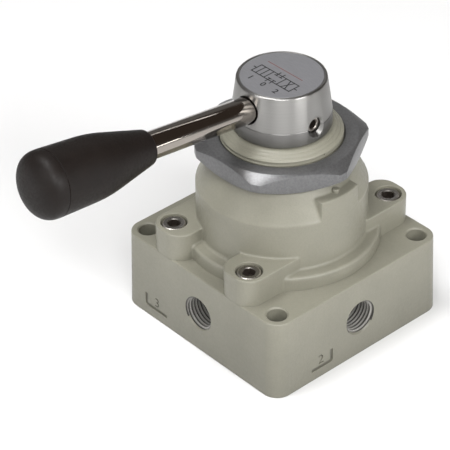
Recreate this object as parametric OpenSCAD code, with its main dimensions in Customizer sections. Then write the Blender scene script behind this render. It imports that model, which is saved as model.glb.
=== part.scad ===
// Four-way rotary hand valve for compressed air, with a lever and three positions.
// The origin is the middle of the base's underside, +Z is up, and the lever points to -Y.

/* [Base] */
// Width and depth of the square base at its foot
base_w = 80; // [78:1:92]
// Height of the base
base_h = 31; // [29:0.5:36]
// How far each side leans in from foot to top
base_draft = 0.7; // [0.3:0.1:1.5]
// Radius of the upright corners
base_corner_r = 6; // [4:0.5:8]
// Height of the upright land at the foot and at the top of the sides
base_land = 0.6; // [0.4:0.1:1.5]

/* [Mounting holes] */
// Distance between neighbouring mounting holes
mount_pitch = 66.6; // [65:0.2:68]
// Diameter of a mounting hole
mount_hole_d = 7; // [5.5:0.1:7.5]
// Width of the chamfer round a mounting hole
mount_chamfer = 0.5; // [0.3:0.1:0.8]

/* [Pipe ports] */
// Diameter of the tapped wall of a port
port_d = 11.44; // [8.5:0.02:12]
// Depth of the tapped wall
port_depth = 17; // [14:0.5:18]
// Height of the port axes above the foot
port_z = 15.5; // [13:0.5:16.5]
// Width of the chamfer at a port's mouth
port_chamfer = 0.9; // [0.4:0.1:1.2]
// Diameter of the air passages
passage_d = 6.8; // [5:0.2:7.4]
// Circle on which the upright passages stand
passage_pcd = 26; // [24:0.5:28]

/* [Seat plate] */
// Diameter of the lapped seat plate
seat_d = 51; // [48:0.5:52]
// Thickness of the seat plate
seat_t = 5; // [4.5:0.5:7]
// Depth of the seat plate's recess in the base
seat_sink = 3; // [2:0.5:4]
// Outer diameter of a port seal
port_seal_d = 11; // [10.6:0.2:12]
// Thickness of a port seal
port_seal_t = 1.6; // [1.2:0.1:2]
// Diameter of a seat dowel
seat_dowel_d = 3; // [2:0.5:3]
// Circle on which the two seat dowels stand
seat_dowel_pcd = 42; // [40:1:44]

/* [Rotor] */
// Diameter of the rotor disc
rotor_d = 46; // [43:0.5:47]
// Thickness of the rotor disc
rotor_t = 8; // [7:0.5:9]
// Depth of the two curved pockets that join the ports
pocket_depth = 4; // [3:0.5:5]
// Height of the rotor spring as fitted
rotor_spring_h = 6; // [5.5:0.1:7]
// Mean diameter of the rotor spring
rotor_spring_d = 17; // [15:0.5:19]
// Diameter of the rotor spring's wire
rotor_wire_d = 1.6; // [1:0.1:1.7]
// Diameter of a drive pin
drive_pin_d = 4; // [3:0.5:4]
// Circle on which the two drive pins stand
drive_pin_pcd = 25; // [24.5:0.5:26]

/* [Detent] */
// Diameter of the stem's hub
hub_d = 30; // [29:0.5:31]
// Height of the stem's hub
hub_h = 10; // [9.5:0.5:11]
// Diameter of a detent ball
ball_d = 6; // [5:0.5:6]
// How far a ball drops into a notch
ball_drop = 0.9; // [0.5:0.1:1.2]
// Outer diameter of the notched detent ring
detent_ring_d = 40; // [39:0.5:42]
// Turn of the lever from the middle to each side
swing = 45; // [40:1:45]
// Diameter of the detent spring's wire
detent_wire_d = 0.9; // [0.5:0.1:1]
// Diameter of the stop pin
stop_pin_d = 4; // [3:0.5:4]
// Radius at which the stop pin stands
stop_pin_r = 11; // [10.8:0.1:11.4]

/* [Bonnet] */
// Diameter of the bonnet's round foot
flange_d = 69.2; // [66:0.2:72]
// Height of the bonnet's round foot
flange_h = 5.3; // [4:0.1:7]
// Diameter of the dome
dome_d = 60; // [59:0.2:62]
// Height of the dome's upright wall above the base
dome_h = 24.2; // [23:0.2:28]
// Height of the cone above the dome's wall
cone_h = 9.4; // [8:0.2:11]
// Diameter of the cone's top
cone_top_d = 49.6; // [47:0.2:52]
// Width of the raised pad
pad_w = 17; // [12:0.5:20]
// Height of the raised pad above the dome's wall
pad_h = 6.8; // [4:0.2:8]
// Distance of the locating pin from the axis
locating_r = 26.6; // [26:0.1:27.2]
// Diameter of the locating pin
locating_d = 2.6; // [2:0.2:3]
// How far the locating pin stands proud
locating_proud = 1.2; // [0.8:0.2:2]

/* [Bonnet ears and screws] */
// Distance of the cover screws from the middle, along X
screw_x = 19.3; // [18:0.1:20]
// Distance of the cover screws from the middle, along Y
screw_y = 33.1; // [32.5:0.1:33.5]
// Radius of an ear's round outer corners
ear_r = 6.4; // [5.8:0.1:6.8]
// Width of the flat between an ear's two round corners
ear_flat = 3.3; // [2:0.1:5]
// Height of the ears above the base
ear_h = 10.5; // [9:0.1:14]
// Thread diameter of a cover screw
screw_d = 5; // [4:0.5:5]
// Head diameter of a cover screw
screw_head_d = 8.5; // [7:0.1:9]
// Head height of a cover screw
screw_head_h = 5; // [4:0.5:5]
// Length of a cover screw under its head
screw_len = 18; // [14:1:20]
// How far a screw head lies below the ear's top
screw_sink = 0.5; // [0.2:0.1:1]
// Width across the flats of a screw's socket
screw_socket = 4; // [3:0.5:4]

/* [Neck and panel nut] */
// Diameter of the threaded neck
neck_d = 42.4; // [40:0.2:44]
// Thickness of the panel nut
nut_t = 7.6; // [6:0.2:9]
// Width across the nut's flats
nut_af = 54; // [52:0.5:57]
// Diameter to which the nut's corners are turned
nut_corner_d = 60.5; // [60:0.2:61]
// Gap between the cone and the nut
nut_gap = 1.1; // [0.5:0.1:2]
// Angle of the nut's turned chamfers
nut_chamfer_angle = 30; // [20:1:35]
// How far the neck's thread stands above the nut
neck_stand = 1.4; // [1:0.1:4]
// Rise of the neck's cap from its edge to its top
neck_cap_h = 2.5; // [2:0.1:3.4]
// Diameter of the flat on top of the neck's cap
neck_cap_d = 35.4; // [34:0.2:37]

/* [Stem and bearing] */
// Diameter of the stem in its bush
stem_d = 16; // [15:0.5:17]
// Diameter of the stem's end in the knob
stem_end_d = 12; // [11:0.5:13]
// Outer diameter of the stem bush
bush_d = 21; // [20:0.5:22]
// Thickness of the thrust washer
washer_t = 1; // [0.8:0.1:1.5]
// Height of the stem seal
stem_seal_h = 2.5; // [2:0.5:3]
// Thickness of the lip above the stem seal
lip_t = 4.5; // [3.5:0.5:6]

/* [Knob] */
// Diameter of the knob's foot
knob_d = 34.4; // [33:0.2:36]
// Height of the knob
knob_h = 18.4; // [17.6:0.2:20]
// Height of the knob's straight band
knob_band_h = 5.6; // [4:0.1:6]
// Diameter of the knob's top edge
knob_top_d = 31; // [29.8:0.2:32]
// Gap between the neck's cap and the knob
knob_gap = 0.4; // [0.3:0.1:1]
// Diameter of the name plate
plate_d = 28.6; // [24:0.2:28.8]
// Thickness of the name plate
plate_t = 0.5; // [0.3:0.1:0.8]
// Thread diameter of the set screw
set_screw_d = 6; // [5:0.5:6]
// Height of the set screw above the knob's foot
set_screw_h = 5.8; // [4.6:0.1:6]
// Thread diameter of the centre screw
centre_screw_d = 6; // [5:0.5:6]

/* [Lever and grip] */
// Upward slope of the lever
lever_pitch = 6.8; // [4:0.2:9]
// Height above the knob's foot at which the lever's axis meets the valve's axis
lever_h = 9.5; // [9:0.1:10]
// Diameter of the lever rod
rod_d = 9.4; // [8.5:0.1:10]
// Thread diameter at both ends of the rod
rod_thread_d = 8; // [6:0.5:8]
// Distance from the valve's axis to the grip, along the lever
grip_start = 60; // [50:1:75]
// Length of the grip's body
grip_len = 40.2; // [36:0.2:60]
// Length of the grip's domed cap
cap_len = 7.1; // [6:0.1:12]
// Diameter of the grip at the rod
grip_neck_d = 12.3; // [11.8:0.1:14]
// Diameter of the grip where its taper changes
grip_knee_d = 21.6; // [19:0.2:22]
// Diameter of the grip at the cap
grip_max_d = 22.8; // [22:0.2:26]
// Distance of the change of taper from the grip's start
grip_knee = 21.3; // [16:0.1:24]

/* [Hidden] */
$fn = 96;

// Clearances: a part that stays put, a part that turns, and room round a part that moves freely
fit_gap = 0.03;
run_gap = 0.05;
free_gap = 0.3;
// Cuts run this far past the face that they open
past = 1;

// Heights of the fixed pieces
seat_floor_z = base_h - seat_sink;
seat_top_z = seat_floor_z + seat_t;
shoulder_z = base_h + dome_h;
cone_top_z = shoulder_z + cone_h;
pad_top_z = shoulder_z + pad_h;
ear_top_z = base_h + ear_h;
nut_z = cone_top_z + nut_gap;
neck_edge_z = nut_z + nut_t + neck_stand;
neck_top_z = neck_edge_z + neck_cap_h;
screw_head_z = ear_top_z - screw_sink - screw_head_h;

// Heights of the turning pieces and of what they run against
rotor_z = seat_top_z + run_gap;
rotor_top_z = rotor_z + rotor_t;
hub_z = rotor_top_z + rotor_spring_h;
hub_top_z = hub_z + hub_h;
ball_z = hub_z + hub_h / 2;
washer_z = hub_top_z + 2 * run_gap;
bearing_z = washer_z + washer_t;
seal_top_z = neck_top_z - lip_t;
bush_top_z = seal_top_z - stem_seal_h;
knob_z = neck_top_z + knob_gap;
knob_top_z = knob_z + knob_h;
plate_z = knob_top_z - plate_t;

// Rotor chamber in the bonnet, and the ring seal outside it
chamber_d = seat_d + 2 * fit_gap;
seal_land = 1.7;
body_seal_section = 2.6;
body_seal_squeeze = 0.5;
body_seal_d = seat_d + 2 * seal_land + body_seal_section;

// Detent: at rest a ball's crown lies just inside the ring's lobes
lobe_d = hub_d + 0.8;
ball_x = lobe_d / 2 - 2 * run_gap - ball_d / 2;
notch_d = ball_d + 4 * run_gap;
notch_x = ball_x + ball_drop;
stop_depth = 4;

// Knob seat, centre screw and set screw
knob_step = 1.6;
knob_edge_r = 0.7;
knob_seat_z = knob_z + knob_step;
screw_web_t = 1.8;
centre_head_d = centre_screw_d + 4;
centre_head_h = 2.9;
stem_end_top_z = plate_z - 0.3 - centre_head_h - screw_web_t;
centre_head_z = stem_end_top_z + screw_web_t;
centre_len = 14;
stem_flat_x = stem_end_d / 2 - 0.5;
set_screw_z = knob_z + set_screw_h;
set_screw_end_x = knob_d / 2 - 1.9;
plate_r = plate_d / 2;

// Lever: distances along its axis from the valve's axis
lever_z = knob_z + lever_h;
rod_shoulder = 13.6;
rod_tip = 8.6;
rod_chamfer = 0.9;
thread_len = 11;
insert_depth = 20;
insert_start = grip_start + insert_depth;
insert_d = 13;
insert_len = thread_len + 1;
cap_start = grip_start + grip_len;
spigot_d = 17.6;
spigot_len = cap_start - insert_start - insert_len - 1;

// Points of an arc about [x, y]
function arc(x, y, r, from, to, steps) =
    [for (i = [0:steps]) let (a = from + (to - from) * i / steps) [x + r * cos(a), y + r * sin(a)]];

// Points of a smooth bend that starts at a, leans on b and ends at c
function bend(a, b, c, steps) =
    [for (i = [0:steps]) let (u = i / steps) (1 - u) * (1 - u) * a + 2 * u * (1 - u) * b + u * u * c];

// The grip's end: a quarter of a superellipse
function dome(r, start, len, steps, power = 2.9) =
    [for (i = [0:steps]) let (a = 90 * i / steps)
        [r * pow(cos(a), 2 / power), start + len * pow(sin(a), 2 / power)]];

// A drill: a cylinder that runs from z = from to z = to
module drill(d, from, to) {
    translate([0, 0, from]) cylinder(d = d, h = to - from);
}

// A pair of copies, one on each side of the Z axis
module both_sides() {
    for (turn = [0, 180]) rotate([0, 0, turn]) children();
}

// Four copies, one for each side of the base
module each_side() {
    for (turn = [0:90:270]) rotate([0, 0, turn]) children();
}

// Four copies mirrored into the corners
module each_corner(x, y) {
    for (sx = [-1, 1], sy = [-1, 1]) translate([sx * x, sy * y, 0]) children();
}

// A groove of width w that follows an arc of radius r between two angles, with round ends
module arc_slot(r, w, h, from, to) {
    linear_extrude(h) polygon(concat(
        arc(0, 0, r + w / 2, from, to, 18),
        arc(r * cos(to), r * sin(to), w / 2, to + 20, to + 160, 7),
        arc(0, 0, r - w / 2, to, from, 18),
        arc(r * cos(from), r * sin(from), w / 2, from + 200, from + 340, 7)));
}

// A hexagon socket's hole that opens upwards from z = 0
module hex_socket(across, depth) {
    translate([0, 0, -depth]) cylinder(d = across / cos(30), h = depth + past, $fn = 6);
}

// A round wire coiled about the Z axis from z = 0 to z = h
module coil(d, wire, h, turns, per_turn, sides) {
    n = turns * per_turn;
    rings = [for (i = [0:n], k = [0:sides - 1])
        let (a = 360 * i / per_turn, b = 360 * k / sides, r = d / 2 + wire / 2 * cos(b))
        [r * cos(a), r * sin(a), wire / 2 + (h - wire) * i / n + wire / 2 * sin(b)]];
    skin = [for (i = [0:n - 1], k = [0:sides - 1])
        let (j = (k + 1) % sides, p = i * sides, q = p + sides)
        [p + k, q + k, q + j, p + j]];
    ends = [[for (k = [0:sides - 1]) k], [for (k = [sides - 1:-1:0]) n * sides + k]];
    polyhedron(points = rings, faces = concat(skin, ends), convexity = 8);
}

// Moves its children from upright on the origin to the lever's axis
module on_lever() {
    translate([0, 0, lever_z]) rotate([90 - lever_pitch, 0, 0]) children();
}

// The base's drafted block
module base_form() {
    foot = base_w / 2 - base_corner_r;
    top = foot - base_draft;
    hull() {
        each_corner(foot, foot) cylinder(r = base_corner_r, h = base_land, $fn = 32);
        translate([0, 0, base_h - base_land])
            each_corner(top, top) cylinder(r = base_corner_r, h = base_land, $fn = 32);
    }
}

// One port: its mouth, tapped wall, cross passage and upright passage, on the +X side
module port_cut() {
    mouth_x = base_w / 2 - base_draft * port_z / base_h;
    wall_end = base_w / 2 - port_depth;
    translate([0, 0, port_z]) rotate([0, 90, 0]) {
        drill(port_d, wall_end, base_w / 2 + past);
        drill(passage_d, passage_pcd / 2, wall_end + past);
        translate([0, 0, wall_end - 2]) cylinder(d1 = passage_d, d2 = port_d, h = 2);
        translate([0, 0, mouth_x - port_chamfer])
            cylinder(d1 = port_d, d2 = port_d + 4 * port_chamfer, h = 2 * port_chamfer);
    }
    translate([passage_pcd / 2, 0, 0]) {
        translate([0, 0, port_z]) sphere(d = passage_d);
        drill(passage_d, port_z, seat_floor_z + past);
        drill(port_seal_d + 2 * fit_gap, seat_floor_z - port_seal_t, seat_floor_z + past);
    }
}

module base_block() {
    color([0.62, 0.61, 0.55])
    difference() {
        base_form();
        each_side() port_cut();
        drill(seat_d + 2 * fit_gap, seat_floor_z, base_h + past);
        each_corner(mount_pitch / 2, mount_pitch / 2) {
            drill(mount_hole_d, -past, base_h + past);
            translate([0, 0, base_h - mount_chamfer])
                cylinder(d1 = mount_hole_d, d2 = mount_hole_d + 4 * mount_chamfer, h = 2 * mount_chamfer);
        }
        each_corner(screw_x, screw_y)
            drill(screw_d + 2 * fit_gap, screw_head_z - screw_len - 1.5, base_h + past);
        rotate([0, 0, 45]) both_sides() translate([seat_dowel_pcd / 2, 0, 0])
            drill(seat_dowel_d + 2 * fit_gap, seat_floor_z - 4, seat_floor_z + past);
        translate([0, 0, base_h - body_seal_section + body_seal_squeeze])
            body_seal_groove(body_seal_section);
    }
}

// The square groove of the ring seal between base and bonnet
module body_seal_groove(h) {
    difference() {
        cylinder(d = body_seal_d + body_seal_section + 2 * run_gap, h = h);
        translate([0, 0, -past])
            cylinder(d = body_seal_d - body_seal_section - 2 * run_gap, h = h + 2 * past);
    }
}

module port_seals() {
    color([0.09, 0.09, 0.09])
    each_side() translate([passage_pcd / 2, 0, seat_floor_z - port_seal_t]) difference() {
        cylinder(d = port_seal_d, h = port_seal_t);
        drill(passage_d, -past, port_seal_t + past);
    }
}

module seat_plate() {
    color([0.7, 0.7, 0.72])
    difference() {
        drill(seat_d, seat_floor_z, seat_top_z);
        each_side() translate([passage_pcd / 2, 0, 0])
            drill(passage_d, seat_floor_z - past, seat_top_z + past);
        rotate([0, 0, 45]) both_sides() translate([seat_dowel_pcd / 2, 0, 0])
            drill(seat_dowel_d + 2 * fit_gap, seat_floor_z - past, seat_top_z - 1.5);
    }
}

module seat_dowels() {
    color([0.75, 0.75, 0.77])
    rotate([0, 0, 45]) both_sides() translate([seat_dowel_pcd / 2, 0, 0])
        drill(seat_dowel_d, seat_floor_z - 4, seat_top_z - 1.6);
}

// Ring seal with its crown and foot pressed flat
module body_seal() {
    height = body_seal_section - body_seal_squeeze;
    color([0.09, 0.09, 0.09])
    translate([0, 0, base_h - height / 2]) rotate_extrude() translate([body_seal_d / 2, 0])
        intersection() {
            circle(d = body_seal_section, $fn = 24);
            square([body_seal_section * 2, height], center = true);
        }
}

// Outline of the bonnet's turned form, from its foot to the top of the neck
module bonnet_outline() {
    flange_r = flange_d / 2;
    dome_r = dome_d / 2;
    neck_r = neck_d / 2;
    ledge_z = base_h + flange_h;
    polygon(concat(
        [[0, base_h], [flange_r, base_h]],
        arc(flange_r - 0.8, ledge_z - 0.8, 0.8, 0, 90, 4),
        arc(dome_r + 1, ledge_z + 1, 1, 270, 180, 4),
        arc(dome_r - 1.2, shoulder_z - 1.2, 1.2, 0, 48, 4),
        [[cone_top_d / 2, cone_top_z], [neck_r, cone_top_z], [neck_r, neck_edge_z],
         [neck_r - 0.6, neck_edge_z + 0.7], [neck_cap_d / 2, neck_top_z], [0, neck_top_z]]));
}

// Plan of one ear in the quarter where x and y are positive
module ear_plan() {
    outer_x = screw_x + ear_r;
    inner_x = screw_x - ear_flat - ear_r;
    translate([inner_x, 0]) square([outer_x - inner_x, screw_y]);
    translate([screw_x - ear_flat, 0]) square([ear_flat, screw_y + ear_r]);
    for (x = [screw_x - ear_flat, screw_x]) translate([x, screw_y]) circle(r = ear_r);
}

// The raised pad that carries the locating pin, on the +X side
module pad() {
    intersection() {
        drill(dome_d, shoulder_z - 3, pad_top_z);
        translate([neck_d / 4, -pad_w / 2, 0]) cube([dome_d, pad_w, pad_top_z + past]);
    }
}

module bonnet() {
    color([0.62, 0.61, 0.55])
    difference() {
        union() {
            rotate_extrude() bonnet_outline();
            translate([0, 0, base_h]) linear_extrude(ear_h)
                for (mx = [0, 1], my = [0, 1]) mirror([mx, 0]) mirror([0, my]) ear_plan();
            pad();
        }
        drill(chamber_d, base_h - past, hub_z);
        drill(detent_ring_d + 2 * fit_gap, hub_z - past, washer_z);
        drill(lobe_d, washer_z - past, bearing_z);
        drill(bush_d + 2 * fit_gap, bearing_z - past, seal_top_z);
        drill(stem_d + 2 * free_gap, seal_top_z - past, neck_top_z + past);
        rotate([0, 0, 90]) translate([stop_pin_r, 0, 0])
            drill(stop_pin_d + 2 * fit_gap, bearing_z - past, bearing_z + 5);
        translate([locating_r, 0, 0])
            drill(locating_d + 2 * fit_gap, pad_top_z - 4, pad_top_z + 2 * locating_proud);
        each_corner(screw_x, screw_y) {
            drill(screw_d + 0.5, base_h - past, ear_top_z);
            drill(screw_head_d + 1, screw_head_z, ear_top_z + past);
        }
    }
}

// One socket screw that hangs from the underside of its head at z = 0
module socket_screw(d, len, head_d, head_h, socket) {
    difference() {
        union() {
            rotate_extrude() polygon([[0, 0], [head_d / 2, 0], [head_d / 2, head_h - 0.5],
                [head_d / 2 - 0.5, head_h], [0, head_h]]);
            rotate_extrude() polygon([[0, -len], [d / 2 - 0.6, -len], [d / 2, -len + 0.6],
                [d / 2, past], [0, past]]);
        }
        translate([0, 0, head_h]) hex_socket(socket, head_h / 2);
    }
}

module cover_screws() {
    color([0.3, 0.29, 0.28])
    each_corner(screw_x, screw_y) translate([0, 0, screw_head_z])
        socket_screw(screw_d, screw_len, screw_head_d, screw_head_h, screw_socket);
}

// Ring with a notch for each ball at each of the three lever positions
module detent_ring() {
    color([0.6, 0.6, 0.62])
    difference() {
        drill(detent_ring_d, hub_z + 0.3, washer_z);
        drill(lobe_d, hub_z - past, washer_z + past);
        both_sides() for (a = [-swing, 0, swing]) rotate([0, 0, a]) translate([notch_x, 0, 0])
            drill(notch_d, hub_z - past, washer_z + past);
    }
}

module thrust_washer() {
    color([0.75, 0.6, 0.35])
    difference() {
        drill(lobe_d - 2 * fit_gap, washer_z, bearing_z);
        drill(stem_d + 2 * run_gap, washer_z - past, bearing_z + past);
        rotate([0, 0, 90]) translate([stop_pin_r, 0, 0])
            drill(stop_pin_d + 2 * fit_gap, washer_z - past, bearing_z + past);
    }
}

module stem_bush() {
    color([0.72, 0.55, 0.3])
    difference() {
        drill(bush_d, bearing_z, bush_top_z);
        drill(stem_d + 2 * run_gap, bearing_z - past, bush_top_z + past);
        rotate([0, 0, 90]) translate([stop_pin_r, 0, 0])
            drill(stop_pin_d + 2 * fit_gap, bearing_z - past, bearing_z + 5);
    }
}

// Lip seal: a square ring with a groove round its upper face
module stem_seal() {
    color([0.09, 0.09, 0.09])
    difference() {
        drill(bush_d, bush_top_z, seal_top_z);
        drill(stem_d + 2 * run_gap, bush_top_z - past, seal_top_z + past);
        difference() {
            drill((bush_d + stem_d) / 2 + 0.8, seal_top_z - 1.2, seal_top_z + past);
            drill((bush_d + stem_d) / 2 - 0.8, seal_top_z - 1.2 - past, seal_top_z + 2 * past);
        }
    }
}

// Stop pin: it hangs from the bonnet into the hub's curved groove
module stop_pin() {
    color([0.6, 0.6, 0.62])
    rotate([0, 0, 90]) translate([stop_pin_r, 0, 0])
        drill(stop_pin_d, hub_top_z - stop_depth + free_gap, bearing_z + 4.9);
}

module locating_pin() {
    crown = 0.5;
    color([0.7, 0.69, 0.64])
    translate([locating_r, 0, pad_top_z]) rotate_extrude() polygon(concat(
        [[0, -3.9], [locating_d / 2, -3.9]],
        arc(locating_d / 2 - crown, locating_proud - crown, crown, 0, 90, 4),
        [[0, locating_proud]]));
}

// Outline of a turned blank with chamfered top and bottom edges
module chamfered_blank(d, h, cut_d, angle) {
    drop = (d - cut_d) / 2 * tan(angle);
    rotate_extrude() polygon([[0, 0], [cut_d / 2, 0], [d / 2, drop], [d / 2, h - drop],
        [cut_d / 2, h], [0, h]]);
}

module panel_nut() {
    color([0.62, 0.63, 0.66])
    translate([0, 0, nut_z]) difference() {
        intersection() {
            cylinder(d = nut_af / cos(30), h = nut_t, $fn = 6);
            chamfered_blank(nut_corner_d, nut_t, nut_af - 1.6, nut_chamfer_angle);
        }
        drill(neck_d + 2 * run_gap, -past, nut_t + past);
        translate([0, 0, nut_t - 0.6])
            cylinder(d1 = neck_d + 2 * run_gap, d2 = neck_d + 2.6, h = 1.2);
    }
}

// Rotor: two pockets below, a spring seat and two dog holes above
module rotor_disc() {
    color([0.72, 0.72, 0.7])
    difference() {
        drill(rotor_d, rotor_z, rotor_top_z);
        both_sides() translate([0, 0, rotor_z - past])
            arc_slot(passage_pcd / 2, passage_d, pocket_depth + past, 90 - swing, 90 + swing);
        both_sides() translate([drive_pin_pcd / 2, 0, 0])
            drill(drive_pin_d + 4 * run_gap, rotor_top_z - 3.2, rotor_top_z + past);
    }
}

module drive_pins() {
    color([0.75, 0.75, 0.77])
    both_sides() translate([drive_pin_pcd / 2, 0, 0])
        drill(drive_pin_d, rotor_top_z - 3, hub_z + 1.4);
}

module rotor_spring() {
    color([0.65, 0.66, 0.68])
    translate([0, 0, rotor_top_z])
        coil(rotor_spring_d, rotor_wire_d, rotor_spring_h, 2.5, 24, 10);
}

module stem() {
    color([0.75, 0.76, 0.78])
    difference() {
        union() {
            drill(hub_d, hub_z, hub_top_z);
            drill(stem_d, hub_z, knob_seat_z);
            drill(stem_end_d, hub_z, stem_end_top_z);
        }
        translate([0, 0, ball_z]) rotate([0, 90, 0])
            drill(ball_d + 2 * run_gap, -hub_d, hub_d);
        translate([0, 0, hub_top_z - stop_depth]) arc_slot(stop_pin_r, stop_pin_d + 2 * free_gap,
            stop_depth + past, 90 - swing, 90 + swing);
        both_sides() translate([drive_pin_pcd / 2, 0, 0])
            drill(drive_pin_d + 2 * fit_gap, hub_z - past, hub_z + 1.4);
        drill(centre_screw_d + 2 * fit_gap, centre_head_z - centre_len - 0.5, stem_end_top_z + past);
        translate([stem_flat_x, -stem_d / 2, knob_seat_z])
            cube([stem_d, stem_d, stem_end_top_z]);
    }
}

module detent_spring() {
    spring_len = 2 * (ball_x - ball_d / 2) - 2 * run_gap;
    color([0.65, 0.66, 0.68])
    translate([-spring_len / 2, 0, ball_z]) rotate([0, 90, 0])
        coil(ball_d - 1.4, detent_wire_d, spring_len, 8, 14, 8);
}

module detent_ball(side) {
    color([0.8, 0.8, 0.82])
    translate([side * ball_x, 0, ball_z]) sphere(d = ball_d);
}

module detent_ball_right() { detent_ball(1); }
module detent_ball_left() { detent_ball(-1); }

// Outline of the knob, and of the recess round its plate
module knob_outline() {
    band_z = knob_z + knob_band_h;
    polygon(concat(
        [[0, knob_z], [knob_d / 2 - 0.4, knob_z], [knob_d / 2, knob_z + 0.4], [knob_d / 2, band_z]],
        arc(knob_top_d / 2 - knob_edge_r, knob_top_z - knob_edge_r, knob_edge_r, 8, 90, 5),
        [[0, knob_top_z]]));
}

module knob() {
    color([0.74, 0.74, 0.74])
    difference() {
        rotate_extrude() knob_outline();
        drill(stem_d + 2 * run_gap, knob_z - past, knob_seat_z);
        drill(stem_end_d + 2 * fit_gap, knob_z, stem_end_top_z);
        drill(centre_screw_d + 0.4, knob_z, plate_z);
        drill(centre_head_d + 1, centre_head_z, knob_top_z + past);
        drill(plate_d + 2 * fit_gap, plate_z, knob_top_z + past);
        translate([0, 0, set_screw_z]) rotate([0, 90, 0]) {
            drill(set_screw_d + 2 * fit_gap, 0, knob_d);
            translate([0, 0, set_screw_end_x + 0.9])
                cylinder(d1 = set_screw_d, d2 = set_screw_d + 3, h = 1.5);
        }
        on_lever() {
            drill(rod_thread_d + 2 * fit_gap, rod_tip - 0.4, knob_d);
            drill(rod_d + 0.7, rod_shoulder, knob_d);
        }
    }
}

module knob_set_screw() {
    color([0.2, 0.2, 0.2])
    translate([0, 0, set_screw_z]) rotate([0, 90, 0]) difference() {
        drill(set_screw_d, stem_flat_x, set_screw_end_x);
        translate([0, 0, set_screw_end_x]) hex_socket(set_screw_d / 2, 3.5);
    }
}

module centre_screw() {
    color([0.5, 0.5, 0.5])
    translate([0, 0, centre_head_z])
        socket_screw(centre_screw_d, centre_len, centre_head_d, centre_head_h, centre_screw_d / 2);
}

module name_plate() {
    color([0.55, 0.55, 0.57])
    drill(plate_d, plate_z, knob_top_z);
}

// Rod with a chamfered shoulder at the knob and a thread at each end
module lever_rod() {
    rod_r = rod_d / 2;
    thread_r = rod_thread_d / 2;
    color([0.8, 0.8, 0.8])
    on_lever() rotate_extrude() polygon([[0, rod_tip], [thread_r - 0.7, rod_tip],
        [thread_r, rod_tip + 0.7], [thread_r, rod_shoulder], [rod_r - rod_chamfer, rod_shoulder],
        [rod_r, rod_shoulder + 2 * rod_chamfer], [rod_r, insert_start], [thread_r, insert_start],
        [thread_r, insert_start + thread_len], [0, insert_start + thread_len]]);
}

module grip_insert() {
    color([0.8, 0.65, 0.35])
    on_lever() difference() {
        drill(insert_d, insert_start, insert_start + insert_len);
        drill(rod_thread_d + 2 * fit_gap, insert_start - past, insert_start + insert_len + past);
    }
}

// Outline of the grip's body: a taper that eases at the knee
module grip_outline() {
    neck_r = grip_neck_d / 2;
    knee_r = grip_knee_d / 2;
    knee_t = grip_start + grip_knee;
    slope = (knee_r - neck_r) / grip_knee;
    ease = 4;
    back = knee_t - ease;
    polygon(concat([[0, grip_start]],
        arc(neck_r - 0.9, grip_start + 0.9, 0.9, 270, 360, 4),
        bend([knee_r - slope * ease, back], [knee_r, knee_t],
            [knee_r + (grip_max_d / 2 - knee_r) * ease / (cap_start - knee_t), knee_t + ease], 8),
        [[grip_max_d / 2, cap_start], [0, cap_start]]));
}

module grip() {
    color([0.12, 0.11, 0.11])
    on_lever() difference() {
        rotate_extrude() grip_outline();
        drill(rod_d + 2 * fit_gap, grip_start - past, insert_start);
        drill(insert_d + 2 * fit_gap, insert_start - past, insert_start + insert_len);
        drill(spigot_d + 2 * fit_gap, insert_start + insert_len, cap_start + past);
    }
}

module grip_cap() {
    color([0.12, 0.11, 0.11])
    on_lever() rotate_extrude() polygon(concat(
        [[0, cap_start - spigot_len], [spigot_d / 2, cap_start - spigot_len], [spigot_d / 2, cap_start]],
        dome(grip_max_d / 2, cap_start, cap_len, 14)));
}

base_block();
port_seals();
seat_plate();
seat_dowels();
body_seal();
bonnet();
cover_screws();
detent_ring();
thrust_washer();
stem_bush();
stem_seal();
stop_pin();
locating_pin();
panel_nut();
rotor_disc();
drive_pins();
rotor_spring();
stem();
detent_spring();
detent_ball_right();
detent_ball_left();
knob();
knob_set_screw();
centre_screw();
name_plate();
lever_rod();
grip_insert();
grip();
grip_cap();
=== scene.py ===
"""Looks of a rotary hand valve: painted castings, turned knob and nut, chromed lever, moulded grip."""
from math import cos, hypot, pi, radians, sin, tan

import bpy
from mathutils import Matrix, Vector


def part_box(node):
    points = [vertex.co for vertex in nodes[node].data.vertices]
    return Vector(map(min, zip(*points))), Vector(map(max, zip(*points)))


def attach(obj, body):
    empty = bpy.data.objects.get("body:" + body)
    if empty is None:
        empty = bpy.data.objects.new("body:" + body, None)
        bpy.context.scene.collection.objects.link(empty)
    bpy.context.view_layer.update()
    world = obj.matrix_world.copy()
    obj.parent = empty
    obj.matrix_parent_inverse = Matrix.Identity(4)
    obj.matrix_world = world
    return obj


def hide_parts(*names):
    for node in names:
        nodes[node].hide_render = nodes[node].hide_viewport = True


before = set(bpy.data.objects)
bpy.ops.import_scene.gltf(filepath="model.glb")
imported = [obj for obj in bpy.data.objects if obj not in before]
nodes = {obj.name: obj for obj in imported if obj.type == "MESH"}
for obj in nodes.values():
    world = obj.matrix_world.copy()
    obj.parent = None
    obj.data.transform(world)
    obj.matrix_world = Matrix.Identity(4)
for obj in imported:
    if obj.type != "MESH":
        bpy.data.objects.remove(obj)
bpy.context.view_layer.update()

MM = 0.001
SAME = 0.01 * MM  # lengths that differ by less count as the same
MERGE = 0.002 * MM  # points as close as this become one
SPARE = 3 * MM  # length that a later cut or join takes away
FIT_GAP = 0.03 * MM  # air round a piece in its hole
DIGIT_SHARE = 0.7  # a digit's height in the font, as a share of the font's size

# Camera, worked out from the photograph: where it looks from, its roll, and its distance in metres
VIEW_TURN = radians(48.76)
VIEW_TILT = radians(35.93)
VIEW_ROLL = radians(-1.05)
VIEW_DISTANCE = 0.8
VIEW_LENS = 183.2
VIEW_SENSOR = 36
AIM_HEIGHT = 40 * MM
AIM_RIGHT = -19.86 * MM
AIM_UP = -5.0 * MM

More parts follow.
